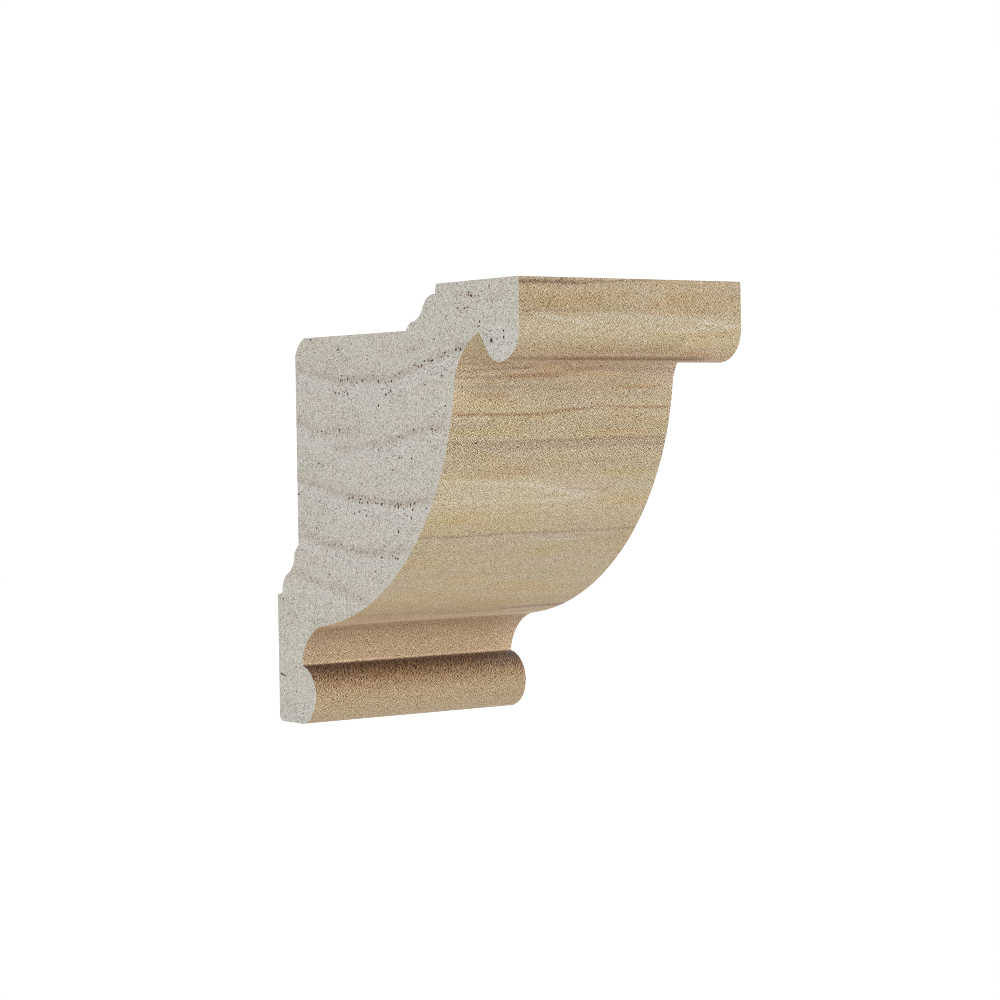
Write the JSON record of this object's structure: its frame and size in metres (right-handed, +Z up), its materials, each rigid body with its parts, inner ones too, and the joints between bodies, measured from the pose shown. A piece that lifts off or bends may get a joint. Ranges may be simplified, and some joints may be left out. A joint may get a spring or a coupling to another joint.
{
  "type": "dentil block",
  "caption": "Short, square-cut wood cornice block with a rolled top lip, a groove, a large convex curve, a cove and a half-round bead at the foot, and a relieved back for wall fixing.",
  "frame": {"origin": "centre of the flat pad at the foot of the back, the face that is fixed to the wall", "axes": "+Y out of the back into the wall, so the moulded face looks to -Y; +Z up; +X along the moulding"},
  "size_m": [0.054, 0.0875, 0.0889],
  "materials": {
    "wood": "raw machined wood, fine sanded, matte; pale grey end grain"
  },
  "bodies": {
    "root": {"dentil_block": "wood"}
  },
  "joints": []
}
